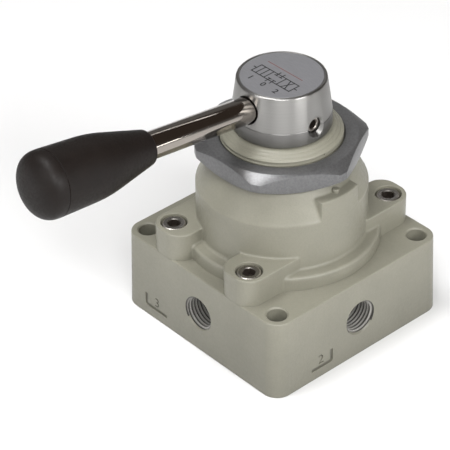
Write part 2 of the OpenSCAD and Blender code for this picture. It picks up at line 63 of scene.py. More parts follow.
# Studio
FLOOR_SHADE = 0.79
FLOOR_SIZE = 6
FLOOR_DROP = 0.05 * MM
WALL_SHADE = (0.22, 0.215, 0.21)
UPPER_SHADE = (0.2, 0.195, 0.19)
CEILING_SHADE = (0.35, 0.35, 0.35)
CEILING_PLACE = 0.95
DARK_PART = (0.27, 0.68, 0.68)  # the direction of the dark part of the surroundings
DARK_PART_EDGE = (0.68, 0.86)  # cosines of the angles at which it starts and is full
DARK_SHADE = (0.07, 0.055, 0.045)

# Base
BASE_DRAFT = 0.7 * MM
BASE_CORNER = 6 * MM
BASE_TOP_ROUND = 0.5 * MM
BASE_FOOT_ROUND = 0.35 * MM
PORT_RADIUS = 5.72 * MM
PORT_HEIGHT = 15.5 * MM
PORT_DEPTH = 17 * MM
PORT_CHAMFER = 0.9 * MM
PORT_CONE = 2 * MM
PIPE_THREAD_PITCH = 1.337 * MM
PIPE_THREAD_RADIUS = 6.5 * MM
PIPE_THREAD_OVERLAP = 0.25 * MM
PIPE_THREAD_START = 2.6 * MM  # from the port's end
PIPE_THREAD_TURNS = 11
PASSAGE_RADIUS = 3.4 * MM
PASSAGE_PLACE = 13 * MM
MOUNT_SPREAD = 33.3 * MM
MOUNT_RADIUS = 3.5 * MM
MOUNT_CHAMFER = 0.5 * MM
SEAT_RADIUS = 25.53 * MM
SEAT_SINK = 3 * MM
DOWEL_PLACE = 21 * MM
DOWEL_RADIUS = 1.5 * MM
SEAL_GAP = 0.15 * MM
SCREW_HOLE_FOOT = 16.5 * MM

# Bonnet
FLANGE_RADIUS = 34.6 * MM
FLANGE_HEIGHT = 5.3 * MM
FLANGE_ROUND = 0.9 * MM
DOME_RADIUS = 30 * MM
DOME_HEIGHT = 24.2 * MM
SHOULDER_ROUND = 1.2 * MM
SHOULDER_TURN = 48  # degrees that its round goes through
CONE_HEIGHT = 9.4 * MM
CONE_TOP_RADIUS = 24.8 * MM
PAD_HEIGHT = 6.8 * MM
PAD_WIDTH = 17 * MM
CASTING_GRAIN = 0.32 * MM
EAR_X = 19.3 * MM
EAR_Y = 33.1 * MM
EAR_RADIUS = 6.4 * MM
EAR_FLAT = 3.3 * MM
EAR_HEIGHT = 10.5 * MM
COUNTERBORE_GAP = 0.5 * MM
COUNTERBORE_EDGE = 0.12 * MM
SCREW_HOLE_GAP = 0.25 * MM
NECK_RADIUS = 21.2 * MM
NECK_EDGE = 2.5 * MM
NECK_FLAT_RADIUS = 17.7 * MM
NECK_PITCH = 1.5 * MM
NECK_THREAD_DEPTH = 0.75 * MM
NECK_THREAD_OVERLAP = 0.2 * MM
NECK_THREAD_START = 0.5 * MM  # below the nut
NECK_THREAD_TURNS = 6
NECK_LINES = (0.25, 0.7)
NECK_LINE_DEPTH = 0.12 * MM
STEM_HOLE_RADIUS = 8.3 * MM

# Marks cut beside the ports, measured along the side from its middle; True is for a mirrored side
MARK_NEAR = {False: -28.4 * MM, True: -13.2 * MM}
MARK_FAR = {False: -17 * MM, True: -23.2 * MM}
MARK_FOOT = 3.8 * MM
MARK_TOP = 9.2 * MM
MARK_STROKE = 1.35 * MM
MARK_GAP = 0.65 * MM
MARK_NUMBER = 3.7 * MM
MARK_SHIFT = 0.6 * MM
MARK_CORNER = 1.2 * MM
MARK_DEPTH = 0.45 * MM
MARK_LEAN = 0.15 * MM  # how far the drafted side leans in behind the marks

# Cover screws
SCREW_RADIUS = 2.5 * MM
SCREW_LENGTH = 18 * MM
SCREW_TIP = 0.6 * MM
SCREW_SINK = 0.5 * MM
SCREW_HEAD_RADIUS = 4.25 * MM
SCREW_HEAD_HEIGHT = 5 * MM
SCREW_HEAD_ROUND = 0.75 * MM
SCREW_SOCKET = 4 * MM
SOCKET_CORNER = 0.59  # a little past the hexagon's corners, as a share of its width
FIRST_SOCKET_TURN = 8  # degrees, and each next screw is turned further
SOCKET_TURN = 14

# Nut
NUT_FLATS = 54 * MM
NUT_CORNER_RADIUS = 30.25 * MM
NUT_FACE_RADIUS = 26.2 * MM
NUT_CHAMFER_ANGLE = radians(30)
NUT_BORE_GAP = 0.05 * MM

# Knob
KNOB_BAND = 5.6 * MM
KNOB_TOP_RADIUS = 15.5 * MM
KNOB_EDGE = 0.7 * MM
KNOB_STEP = 1.6 * MM
KNOB_FLOOR = 1.8 * MM
STEM_RADIUS = 8.05 * MM
STEM_END_RADIUS = 6.03 * MM
CENTRE_SCREW_RADIUS = 3.2 * MM
CENTRE_HEAD_RADIUS = 5.5 * MM
PLATE_RADIUS = 14.3 * MM
PLATE_EDGE = 0.12 * MM
SET_SCREW_RADIUS = 3 * MM
SET_SCREW_SINK = 0.9 * MM
SET_SCREW_SOCKET = 3 * MM
SET_SCREW_SOCKET_DEPTH = 3.5 * MM

# Name plate's print, in the plate's own directions
PRINT_THICKNESS = 0.02 * MM
PRINT_STROKE = 0.4 * MM
PRINT_BOLDNESS = 0.07 * MM
SYMBOL_LEFT = -9.2 * MM
SYMBOL_LOW = -5.4 * MM
SYMBOL_BOX = 6.1 * MM
SYMBOL_HEIGHT = 4.8 * MM
SYMBOL_TICK = 0.6 * MM
SYMBOL_END = 1.2 * MM
STRIPE_PLACE = 2.5 * MM
STRIPE_END = 7.2 * MM
NUMBER_PLACE = -9.6 * MM
NUMBER_HEIGHT = 2.3 * MM

# Lever, with distances from the valve's axis along the lever
LEVER_PITCH = radians(6.8)
LEVER_HEIGHT = 87.1 * MM
ROD_RADIUS = 4.7 * MM
ROD_THREAD_RADIUS = 4 * MM
ROD_TIP = 8.6 * MM
ROD_SHOULDER = 13.6 * MM
ROD_CHAMFER = 0.9 * MM
ROD_TIP_GAP = 0.4 * MM
ROD_HOLE_GAP = 0.35 * MM
ROD_END_LENGTH = 11 * MM
INSERT_START = 80 * MM
INSERT_LENGTH = 12 * MM
INSERT_RADIUS = 6.53 * MM
GRIP_START = 60 * MM
GRIP_KNEE = 81.3 * MM
GRIP_END = 100.2 * MM
GRIP_BEND = 5 * MM
GRIP_MOUTH_ROUND = 0.9 * MM
GRIP_NECK_RADIUS = 6.15 * MM
GRIP_KNEE_RADIUS = 10.8 * MM
GRIP_RADIUS = 11.4 * MM
CAP_LENGTH = 7.1 * MM
CAP_SQUARENESS = 2.9
SPIGOT_RADIUS = 8.8 * MM
SPIGOT_LENGTH = 7.2 * MM
SEAM = 0.22 * MM


def deselect():
    if bpy.context.mode != "OBJECT":
        bpy.ops.object.mode_set(mode="OBJECT")
    bpy.ops.object.select_all(action="DESELECT")


def only(piece):
    deselect()
    piece.select_set(True)
    bpy.context.view_layer.objects.active = piece
    return piece


def edit(piece, kind="VERT", action="SELECT"):
    """Opens the piece's mesh, with all of it picked or nothing."""
    only(piece)
    bpy.ops.object.mode_set(mode="EDIT")
    bpy.ops.mesh.select_mode(type=kind)
    bpy.ops.mesh.select_all(action=action)


def shut(piece):
    bpy.ops.object.mode_set(mode="OBJECT")
    return piece


def clean(piece):
    """Joins doubled points and turns the faces outwards."""
    edit(piece)
    bpy.ops.mesh.remove_doubles(threshold=MERGE)
    bpy.ops.mesh.normals_make_consistent(inside=False)
    return shut(piece)


def settle(piece):
    """Puts the piece's place, turn and size into its mesh."""
    only(piece)
    bpy.ops.object.transform_apply(location=True, rotation=True, scale=True)
    return piece


def put(piece, move):
    """Moves the piece by a matrix, and puts that into its mesh."""
    piece.matrix_world = move @ piece.matrix_world
    return settle(piece)


def along_x(piece, height, start=0):
    """Lays a lathe piece along the X axis, at that height."""
    return put(piece, Matrix.Translation((start, 0, height)) @ Matrix.Rotation(pi / 2, 4, "Y"))


def corners(x, y):
    """The point and its mirror images about both axes."""
    return [(sx * x, sy * y) for sx in (-1, 1) for sy in (-1, 1)]


def named(name):
    piece = bpy.context.object
    piece.name = name
    piece.data.name = name
    return settle(piece)


def block(name, low, high):
    """A block between two corners."""
    deselect()
    low, high = Vector(low), Vector(high)
    bpy.ops.mesh.primitive_cube_add(size=1, location=(low + high) / 2, scale=high - low)
    return named(name)


def rod(name, radius, start, end, sides=64, end_radius=None):
    """A round bar or taper from one point to another."""
    deselect()
    start, end = Vector(start), Vector(end)
    along = end - start
    bpy.ops.mesh.primitive_cone_add(
        vertices=sides, radius1=radius, radius2=radius if end_radius is None else end_radius,
        depth=along.length, location=(start + end) / 2,
        rotation=along.to_track_quat("Z", "Y").to_euler())
    return named(name)


def hexagon(name, flats, low, high):
    """An upright hexagonal bar about the Z axis, as wide as flats between its flat sides."""
    return rod(name, flats / 2 / cos(pi / 6), (0, 0, low), (0, 0, high), 6)


def turned(name, outline, steps=128):
    """A lathe piece about the Z axis from (radius, height) points."""
    deselect()
    first = outline[0]
    bpy.ops.mesh.primitive_plane_add(size=MM, location=(first[0], 0, first[1]))
    piece = named(name)
    edit(piece)
    bpy.ops.mesh.merge(type="CENTER")
    for before, after in zip(outline, outline[1:]):
        step = (after[0] - before[0], 0, after[1] - before[1])
        bpy.ops.mesh.extrude_region_move(TRANSFORM_OT_translate={"value": step})
    bpy.ops.mesh.select_all(action="SELECT")
    bpy.ops.mesh.spin(steps=steps, angle=2 * pi, center=(0, 0, 0), axis=(0, 0, 1))
    return clean(piece)


def apply_all(piece):
    only(piece)
    for modifier in list(piece.modifiers):
        bpy.ops.object.modifier_apply(modifier=modifier.name)
    return piece


def combine(piece, others, operation, crossing=False):
    """One boolean after the other; crossing is for a tool whose own faces cross, such as a number's."""
    for other in others:
        modifier = piece.modifiers.new("combine", "BOOLEAN")
        modifier.operation = operation
        modifier.solver = "EXACT"
        modifier.use_self = crossing
        modifier.object = other
        apply_all(piece)
        bpy.data.objects.remove(other)
    return piece


def cut(piece, *tools, crossing=False):
    return combine(piece, tools, "DIFFERENCE", crossing)


def join_to(piece, *others):
    return combine(piece, others, "UNION")


def keep_inside(piece, *others):
    return combine(piece, others, "INTERSECT")


def bevel_edges(piece, width, segments, chosen):
    """Rounds the edges for which chosen(middle, direction) holds."""
    edit(piece, "EDGE", "DESELECT")
    shut(piece)
    points = piece.data.vertices
    for edge in piece.data.edges:
        a, b = (points[i].co for i in edge.vertices)
        edge.select = bool(chosen((a + b) / 2, (b - a).normalized()))
    bpy.ops.object.mode_set(mode="EDIT")
    bpy.ops.mesh.bevel(offset=width, offset_type="OFFSET", segments=segments, profile=0.5)
    return shut(piece)


def ease(piece, width, angle):
    """A small round on every edge sharper than the angle, in degrees."""
    modifier = piece.modifiers.new("ease", "BEVEL")
    modifier.width = width
    modifier.segments = 2
    modifier.limit_method = "ANGLE"
    modifier.angle_limit = radians(angle)
    modifier.harden_normals = False
    return apply_all(piece)


def shade(piece, angle=30):
    """Smooth shading, with a sharp edge wherever faces meet at more than the angle."""
    only(piece)
    bpy.ops.object.shade_smooth_by_angle(angle=radians(angle))
    return piece


def even_shading(piece):
    """Lets the large faces keep their own direction, so that flats look flat up to their rounded edges."""
    modifier = piece.modifiers.new("even", "WEIGHTED_NORMAL")
    modifier.keep_sharp = True
    return apply_all(piece)


def quarter_turns(make):
    """Four pieces, one for each side of the base."""
    return [put(make(), Matrix.Rotation(quarter * pi / 2, 4, "Z")) for quarter in range(4)]


def thread_groove(name, open_radius, root_radius, pitch, turns, steps=64):
    """A V groove wound about Z from height 0, as the solid that cuts it."""
    half_mouth = 0.46 * pitch
    half_root = 0.07 * pitch
    profile = [(open_radius, -half_mouth), (root_radius, -half_root), (open_radius, half_mouth),
               (root_radius, half_root)]
    deselect()
    bpy.ops.mesh.primitive_plane_add(size=MM)
    piece = named(name)
    for vertex, (radius, height) in zip(piece.data.vertices, profile):
        vertex.co = (radius, 0, height)
    edit(piece)
    bpy.ops.mesh.delete(type="ONLY_FACE")
    shut(piece)
    modifier = piece.modifiers.new("wind", "SCREW")
    modifier.screw_offset = pitch
    modifier.iterations = turns
    modifier.steps = modifier.render_steps = steps
    modifier.use_merge_vertices = True
    edit(apply_all(piece), "EDGE", "DESELECT")
    bpy.ops.mesh.select_non_manifold(extend=False)
    bpy.ops.mesh.edge_face_add()
    return clean(piece)


def pipe_thread():
    """The tapped thread of one port, on the +X side."""
    groove = thread_groove("pipe_thread", PORT_RADIUS - PIPE_THREAD_OVERLAP, PIPE_THREAD_RADIUS,
                           PIPE_THREAD_PITCH, PIPE_THREAD_TURNS)
    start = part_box("base_block")[1].x - PORT_DEPTH + PIPE_THREAD_START
    return along_x(groove, PORT_HEIGHT, start)


def port_hole():
    """The plain tapping hole of one port with its chamfer, on the +X side."""
    low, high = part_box("base_block")
    face = high.x - BASE_DRAFT * PORT_HEIGHT / (high.z - low.z)
    end = high.x - PORT_DEPTH
    start = PASSAGE_PLACE + MM
    mouth = face + PORT_CHAMFER
    outline = [(0, start), (PASSAGE_RADIUS, start), (PASSAGE_RADIUS, end - PORT_CONE), (PORT_RADIUS, end),
               (PORT_RADIUS, face - PORT_CHAMFER), (PORT_RADIUS + 2 * PORT_CHAMFER, mouth), (0, mouth)]
    return along_x(turned("port_hole", outline, 96), PORT_HEIGHT)


def upright_passage():
    """The round-nosed hole from a port's passage up to the seat, with the pocket of its seal."""
    seal_low, seal_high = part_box("port_seals")
    pocket = seal_high.x - PASSAGE_PLACE + FIT_GAP
    outline = arc_points(0, PORT_HEIGHT, PASSAGE_RADIUS, -90, 0, 6)
    outline += [(PASSAGE_RADIUS, seal_low.z), (pocket, seal_low.z), (pocket, seal_high.z + MM),
                (0, seal_high.z + MM)]
    return put(turned("upright_passage", outline, 48), Matrix.Translation((PASSAGE_PLACE, 0, 0)))


def seal_groove(top):
    """The ring groove in the base's top for the seal of the bonnet."""
    seal_low, seal_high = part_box("body_seal")
    outer, deep = seal_high.x + SEAL_GAP, seal_low.z
    inner = outer - (seal_high.z - seal_low.z) - 2 * SEAL_GAP
    outline = [(inner, deep), (outer, deep), (outer, top + MM), (inner, top + MM), (inner, deep)]
    return turned("seal_groove", outline, 96)


def dowel_hole(top, side):
    """The hole of one of the two dowels that keep the seat plate from turning."""
    place = side * DOWEL_PLACE * cos(pi / 4)
    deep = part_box("seat_dowels")[0].z
    return rod("dowel_hole", DOWEL_RADIUS + FIT_GAP, (place, place, deep), (place, place, top + MM), 32)


def digits(text, height, thickness, boldness=0):
    """Plain digits on the X axis, with the thickness to either side of the XY plane."""
    deselect()
    bpy.ops.object.text_add()
    label = bpy.context.object
    label.data.body = text
    label.data.size = height / DIGIT_SHARE
    label.data.align_x = "CENTER"
    label.data.extrude = thickness
    label.data.offset = boldness
    label.data.resolution_u = 6
    bpy.ops.object.convert(target="MESH")
    return label


def port_mark(number, quarter, mirrored):
    """The cut number of a port and its angle bracket, on the side after so many quarter turns."""
    face = MARK_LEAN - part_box("base_block")[1].y
    hand = -1 if mirrored else 1
    near, far = MARK_NEAR[mirrored], MARK_FAR[mirrored]
    turn = Matrix.Rotation(quarter * pi / 2, 4, "Z")
    left, right = sorted((near, far))
    bracket = block("bracket", (left, face - MM, MARK_FOOT), (right, face + MARK_DEPTH, MARK_TOP))
    bevel_edges(bracket, MARK_CORNER, 5, lambda middle, along: (
        abs(along.y) > 0.9 and abs(middle.x - near) < SAME and middle.z < MARK_FOOT + SAME))
    left, right = sorted((near + hand * MARK_STROKE, far + hand * MM))
    foot = MARK_FOOT + MARK_STROKE
    cut(bracket, block("inside", (left, face - 2 * MM, foot), (right, face + MM, MARK_TOP + MM)))
    label = digits(number, MARK_NUMBER, MARK_DEPTH)
    place = Matrix.Translation(((near + far) / 2 + hand * MARK_SHIFT, face, foot + MARK_GAP))
    return [put(bracket, turn), clean(put(label, turn @ place @ Matrix.Rotation(pi / 2, 4, "X")))]


def base_casting():
    low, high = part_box("base_block")
    body = block("base_casting", low, high)
    for vertex in body.data.vertices:
        if vertex.co.z > (high.z - low.z) / 2:
            vertex.co.x *= 1 - BASE_DRAFT / high.x
            vertex.co.y *= 1 - BASE_DRAFT / high.y
    bevel_edges(body, BASE_CORNER, 12, lambda middle, along: abs(along.z) > 0.9)
    bevel_edges(body, BASE_TOP_ROUND, 3, lambda middle, along: middle.z > high.z - SAME)
    bevel_edges(body, BASE_FOOT_ROUND, 2, lambda middle, along: middle.z < SAME)
    for number, quarter, mirrored in (("3", 0, False), ("2", 1, True), ("1", 2, False), ("4", 3, True)):
        cut(body, *port_mark(number, quarter, mirrored), crossing=True)
    cut(body, *quarter_turns(port_hole))
    mouth = high.z - MOUNT_CHAMFER
    for x, y in corners(MOUNT_SPREAD, MOUNT_SPREAD):
        cut(body, rod("hole", MOUNT_RADIUS, (x, y, -MM), (x, y, high.z + MM), 48),
            rod("mouth", MOUNT_RADIUS, (x, y, mouth), (x, y, mouth + 2 * MOUNT_CHAMFER), 48,
                MOUNT_RADIUS + 2 * MOUNT_CHAMFER))
    for x, y in corners(EAR_X, EAR_Y):
        cut(body, rod("screw_hole", SCREW_RADIUS + FIT_GAP, (x, y, SCREW_HOLE_FOOT), (x, y, high.z + MM), 32))
    cut(body, rod("seat", SEAT_RADIUS, (0, 0, high.z - SEAT_SINK), (0, 0, high.z + MM), 96))
    cut(body, *quarter_turns(upright_passage))
    cut(body, seal_groove(high.z), dowel_hole(high.z, 1), dowel_hole(high.z, -1))
    cut(body, *quarter_turns(pipe_thread))
    choose_base_materials(body, high)
    return even_shading(shade(body))


def choose_base_materials(body, high):
    """The ports are cut after painting, so they show bare metal, and the sunk marks get a darker paint as
    painted shade.
    """
    margin = 0.1 * MM
    reach = PORT_RADIUS + PORT_CHAMFER + margin

    def material_at(point):
        x, y, z = point
        out, across = max(abs(x), abs(y)), min(abs(x), abs(y))
        sunk = high.x - BASE_DRAFT * z / high.z - out
        beside = MARK_FOOT - margin < z < MARK_TOP + margin and across < MOUNT_SPREAD
        if hypot(across, z - PORT_HEIGHT) < reach and out > PASSAGE_PLACE:
            return 1
        # the sunk marks' faces take the darker paint, which is painted shade in the recess
        if beside and MARK_DEPTH / 3 < sunk < MM:
            return 2
        return 0

    places = [material_at(vertex.co) for vertex in body.data.vertices]
    for face in body.data.polygons:
        face.material_index = min(places[i] for i in face.vertices)


def ear(sx, sy):
    """One ear of the bonnet, on the side that the signs give."""
    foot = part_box("bonnet")[0].z
    tip = sy * (EAR_Y + EAR_RADIUS)
    xs = sorted((sx * (EAR_X - EAR_FLAT - EAR_RADIUS), sx * (EAR_X + EAR_RADIUS)))
    ys = sorted((0, tip))
    piece = block("ear", (xs[0], ys[0], foot - SPARE), (xs[1], ys[1], foot + EAR_HEIGHT))
    return bevel_edges(piece, EAR_RADIUS, 12,
                       lambda middle, along: abs(along.z) > 0.9 and abs(middle.y - tip) < SAME)


def arc_points(x, y, radius, start, end, steps):
    """Points on an arc about (x, y), with the angles in degrees."""
    angles = [radians(start + (end - start) * i / steps) for i in range(steps + 1)]
    return [(x + radius * cos(a), y + radius * sin(a)) for a in angles]


def bonnet_casting():
    low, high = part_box("bonnet")
    foot = low.z
    ledge = foot + FLANGE_HEIGHT
    shoulder = foot + DOME_HEIGHT
    cone_top = shoulder + CONE_HEIGHT
    outline = [(0, foot - SPARE), (FLANGE_RADIUS, foot - SPARE)]
    outline += arc_points(FLANGE_RADIUS - FLANGE_ROUND, ledge - FLANGE_ROUND, FLANGE_ROUND, 0, 90, 6)
    outline += arc_points(DOME_RADIUS + MM, ledge + MM, MM, 270, 180, 5)
    outline += arc_points(DOME_RADIUS - SHOULDER_ROUND, shoulder - SHOULDER_ROUND, SHOULDER_ROUND,
                          0, SHOULDER_TURN, 4)
    outline += [(CONE_TOP_RADIUS, cone_top), (0, cone_top)]
    body = turned("bonnet_casting", outline, 192)
    pad = rod("pad", DOME_RADIUS, (0, 0, shoulder - SPARE), (0, 0, shoulder + PAD_HEIGHT), 192)
    side = PAD_WIDTH / 2
    keep_inside(pad, block("pad_width", (NECK_RADIUS / 2, -side, 0), (2 * DOME_RADIUS, side, 2 * shoulder)))
    join_to(body, pad, *(ear(sx, sy) for sx, sy in corners(1, 1)))
    soften_casting(body)
    bisect_below(body, foot)
    neck = turned("neck", neck_outline(cone_top, high.z - NECK_EDGE, high.z))
    groove = thread_groove("neck_thread", NECK_RADIUS + NECK_THREAD_OVERLAP, NECK_RADIUS - NECK_THREAD_DEPTH,
                           NECK_PITCH, NECK_THREAD_TURNS, 96)
    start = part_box("panel_nut")[0].z - NECK_THREAD_START
    cut(neck, put(groove, Matrix.Translation((0, 0, start))))
    join_to(body, neck)
    cut(body, *bonnet_tools(low, high))
    return shade(body, 35)


def neck_outline(root, edge, top):
    """The neck with its sloping rim, which has two fine turned lines."""
    outer, inner = NECK_RADIUS - 0.6 * MM, NECK_FLAT_RADIUS + 0.3 * MM
    low, high = edge + 0.7 * MM, top - 0.1 * MM
    rise = (high - low) / (outer - inner)
    outline = [(0, root - 2 * MM), (NECK_RADIUS, root - 2 * MM), (NECK_RADIUS, edge),
               (NECK_RADIUS - 0.25 * MM, edge + 0.35 * MM), (outer, low)]
    for line in NECK_LINES:
        middle = outer + (inner - outer) * line
        for step, depth in ((0.12 * MM, 0), (0, NECK_LINE_DEPTH), (-0.12 * MM, 0)):
            outline.append((middle + step, low + (outer - middle - step) * rise - depth))
    return outline + [(inner, high), (NECK_FLAT_RADIUS, top), (0, top)]


def soften_casting(body):
    """Gives the casting the small even fillets of a die, by a fine skin that is then smoothed."""
    skin = body.modifiers.new("skin", "REMESH")
    skin.mode = "VOXEL"
    skin.voxel_size = CASTING_GRAIN
    skin.use_smooth_shade = True
    smooth = body.modifiers.new("smooth", "SMOOTH")
    smooth.factor = 0.5
    smooth.iterations = 5
    thin_out = body.modifiers.new("thin_out", "DECIMATE")
    thin_out.ratio = 0.4
    apply_all(body)


def bisect_below(body, height):
    """Cuts off what lies below the height, and closes the cut."""
    edit(body)
    bpy.ops.mesh.bisect(plane_co=(0, 0, height), plane_no=(0, 0, -1), use_fill=True, clear_outer=True)
    shut(body)


def bonnet_tools(low, high):
    """What is machined out of the bonnet: its chambers, the screw holes and the locating pin's hole."""
    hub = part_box("stem")[0].z
    washer_low, washer_high = (corner.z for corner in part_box("thrust_washer"))
    seal_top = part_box("stem_seal")[1].z
    ring, bush, washer = (
        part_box(node)[1].x + FIT_GAP for node in ("detent_ring", "stem_bush", "thrust_washer"))
    tools = [turned("chambers", [
        (0, low.z - MM), (SEAT_RADIUS, low.z - MM), (SEAT_RADIUS, hub), (ring, hub), (ring, washer_low),
        (washer, washer_low), (washer, washer_high), (bush, washer_high), (bush, seal_top),
        (STEM_HOLE_RADIUS, seal_top), (STEM_HOLE_RADIUS, high.z + MM), (0, high.z + MM)])]
    mouth = low.z + EAR_HEIGHT
    head = mouth - SCREW_SINK - SCREW_HEAD_HEIGHT
    hole, wall, edge = SCREW_RADIUS + SCREW_HOLE_GAP, SCREW_HEAD_RADIUS + COUNTERBORE_GAP, COUNTERBORE_EDGE
    for x, y in corners(EAR_X, EAR_Y):
        counterbore = turned("counterbore", [
            (0, low.z - MM), (hole, low.z - MM), (hole, head), (wall, head), (wall, mouth - edge),
            (wall + 2 * edge, mouth + edge), (0, mouth + edge)], 64)
        tools.append(put(counterbore, Matrix.Translation((x, y, 0))))
    pin_low, pin_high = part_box("locating_pin")
    pin_x, pin_radius = (pin_low.x + pin_high.x) / 2, (pin_high.x - pin_low.x) / 2
    start, end = (pin_x, 0, pin_low.z), (pin_x, 0, pin_high.z + MM)
    return tools + [rod("pin_hole", pin_radius + FIT_GAP, start, end, 32)]


def camera():
    back = Vector((sin(VIEW_TURN) * cos(VIEW_TILT), -cos(VIEW_TURN) * cos(VIEW_TILT), sin(VIEW_TILT)))
    level = Vector((cos(VIEW_TURN), sin(VIEW_TURN), 0))
    upright = back.cross(level)
    right = level * cos(VIEW_ROLL) + upright * sin(VIEW_ROLL)
    up = upright * cos(VIEW_ROLL) - level * sin(VIEW_ROLL)
    place = Vector((0, 0, AIM_HEIGHT)) + back * VIEW_DISTANCE + right * AIM_RIGHT + up * AIM_UP
    deselect()
    bpy.ops.object.camera_add()
    eye = bpy.context.object
    eye.matrix_world = Matrix.Translation(place) @ Matrix((right, up, back)).transposed().to_4x4()
    eye.data.lens = VIEW_LENS
    eye.data.sensor_width = VIEW_SENSOR
    eye.data.clip_start = 0.01
    eye.data.clip_end = 20
    bpy.context.scene.camera = eye


def cover_screws():
    """Four socket screws with rounded heads, whose hexagonal sockets stand at different angles."""
    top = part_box("cover_screws")[1].z
    head = top - SCREW_HEAD_HEIGHT
    tip = head - SCREW_LENGTH
    r, rim = SCREW_HEAD_RADIUS, SCREW_SOCKET / 2
    screws = []
    for x, y in corners(EAR_X, EAR_Y):
        screw = turned("cover_screw", [
            (0, tip), (SCREW_RADIUS - SCREW_TIP, tip), (SCREW_RADIUS, tip + SCREW_TIP), (SCREW_RADIUS, head),
            (r, head), (r, top - 0.55 * MM), (r - 0.16 * MM, top - 0.2 * MM), (r - 0.5 * MM, top - 0.02 * MM),
            (r - SCREW_HEAD_ROUND, top), (rim + 0.5 * MM, top), (rim + 0.2 * MM, top - 0.28 * MM),
            (0, top - 0.28 * MM)], 64)
        socket = hexagon("socket", SCREW_SOCKET, top - SCREW_HEAD_HEIGHT / 2, top + MM)
        turn = radians(FIRST_SOCKET_TURN + SOCKET_TURN * len(screws))
        cut(screw, put(socket, Matrix.Rotation(turn, 4, "Z")))
        screws.append(put(screw, Matrix.Translation((x, y, 0))))
    bundle = joined("cover_screw_set", screws)
    darken_socket(bundle, SCREW_SOCKET, lambda x, y, z: (
        hypot(abs(x) - EAR_X, abs(y) - EAR_Y) if z > head else SCREW_SOCKET))
    return shade(bundle)


def darken_socket(piece, width, axis_distance):
    """Gives the inside of a screw's socket the second material, which is dark as painted shade in the recess.
    """
    inside = [axis_distance(*vertex.co) < SOCKET_CORNER * width for vertex in piece.data.vertices]
    for face in piece.data.polygons:
        if all(inside[i] for i in face.vertices):
            face.material_index = 1


def panel_nut():
    low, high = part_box("panel_nut")
    drop = (NUT_CORNER_RADIUS - NUT_FACE_RADIUS) * tan(NUT_CHAMFER_ANGLE)
    nut = put(hexagon("hexagon_nut", NUT_FLATS, low.z, high.z), Matrix.Rotation(pi / 2, 4, "Z"))
    keep_inside(nut, turned("blank", [
        (0, low.z), (NUT_FACE_RADIUS, low.z), (NUT_CORNER_RADIUS, low.z + drop),
        (NUT_CORNER_RADIUS, high.z - drop), (NUT_FACE_RADIUS, high.z), (0, high.z)], 192))
    bore = NECK_RADIUS + NUT_BORE_GAP
    cut(nut, turned("bore", [
        (0, low.z - MM), (bore + 1.2 * MM, low.z - MM), (bore + 1.2 * MM, low.z - 0.1 * MM),
        (bore, low.z + 0.9 * MM), (bore, high.z - 0.6 * MM), (bore + 1.25 * MM, high.z + 0.6 * MM),
        (0, high.z + 0.6 * MM)]))
    clean(nut)
    return shade(ease(nut, 0.14 * MM, 12), 24)


def on_lever(piece):
    """Lays a lathe piece along the lever, with its heights as distances from the valve's axis."""
    turn = Matrix.Rotation(pi / 2 - LEVER_PITCH, 4, "X")
    return put(piece, Matrix.Translation((0, 0, LEVER_HEIGHT)) @ turn)


def knob():
    low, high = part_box("knob")
    foot, top, radius = low.z, high.z, high.x
    band = foot + KNOB_BAND
    edge = arc_points(KNOB_TOP_RADIUS - KNOB_EDGE, top - KNOB_EDGE, KNOB_EDGE, 8, 90, 6)
    body = turned("knob_body", [
        (0, foot), (radius - 0.4 * MM, foot), (radius - 0.12 * MM, foot + 0.12 * MM),
        (radius, foot + 0.4 * MM), (radius, band - 0.13 * MM), (radius - 0.13 * MM, band),
        (radius - 0.04 * MM, band + 0.13 * MM), *edge, (0, top)], 192)
    plate_low, stem_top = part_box("name_plate")[0].z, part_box("stem")[1].z
    head_low, recess = stem_top + KNOB_FLOOR, PLATE_RADIUS + FIT_GAP
    inside = turned("inside", [
        (0, foot - MM), (STEM_RADIUS, foot - MM), (STEM_RADIUS, foot + KNOB_STEP),
        (STEM_END_RADIUS, foot + KNOB_STEP), (STEM_END_RADIUS, stem_top), (CENTRE_SCREW_RADIUS, stem_top),
        (CENTRE_SCREW_RADIUS, head_low), (CENTRE_HEAD_RADIUS, head_low), (CENTRE_HEAD_RADIUS, plate_low),
        (recess, plate_low), (recess, top + MM), (0, top + MM)])
    screw_low, screw_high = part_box("knob_set_screw")
    mouth = screw_high.x + SET_SCREW_SINK
    r = SET_SCREW_RADIUS
    screw_hole = turned("screw_hole", [
        (0, 0), (r + FIT_GAP, 0), (r + FIT_GAP, mouth - 0.5 * MM), (r - 0.3 * MM, mouth - 0.35 * MM),
        (r - 0.3 * MM, mouth - 0.2 * MM), (r, mouth), (r + 1.5 * MM, mouth + 1.5 * MM),
        (0, mouth + 1.5 * MM)], 64)
    thread, wall, tip = ROD_THREAD_RADIUS + FIT_GAP, ROD_RADIUS + ROD_HOLE_GAP, ROD_TIP - ROD_TIP_GAP
    rod_hole = turned("rod_hole", [
        (0, tip), (thread, tip), (thread, ROD_SHOULDER), (wall, ROD_SHOULDER), (wall, 2 * ROD_SHOULDER),
        (0, 2 * ROD_SHOULDER)], 96)
    cut(body, inside, along_x(screw_hole, (screw_low.z + screw_high.z) / 2), on_lever(rod_hole))
    clean(body)
    return shade(ease(body, 0.09 * MM, 28), 24)


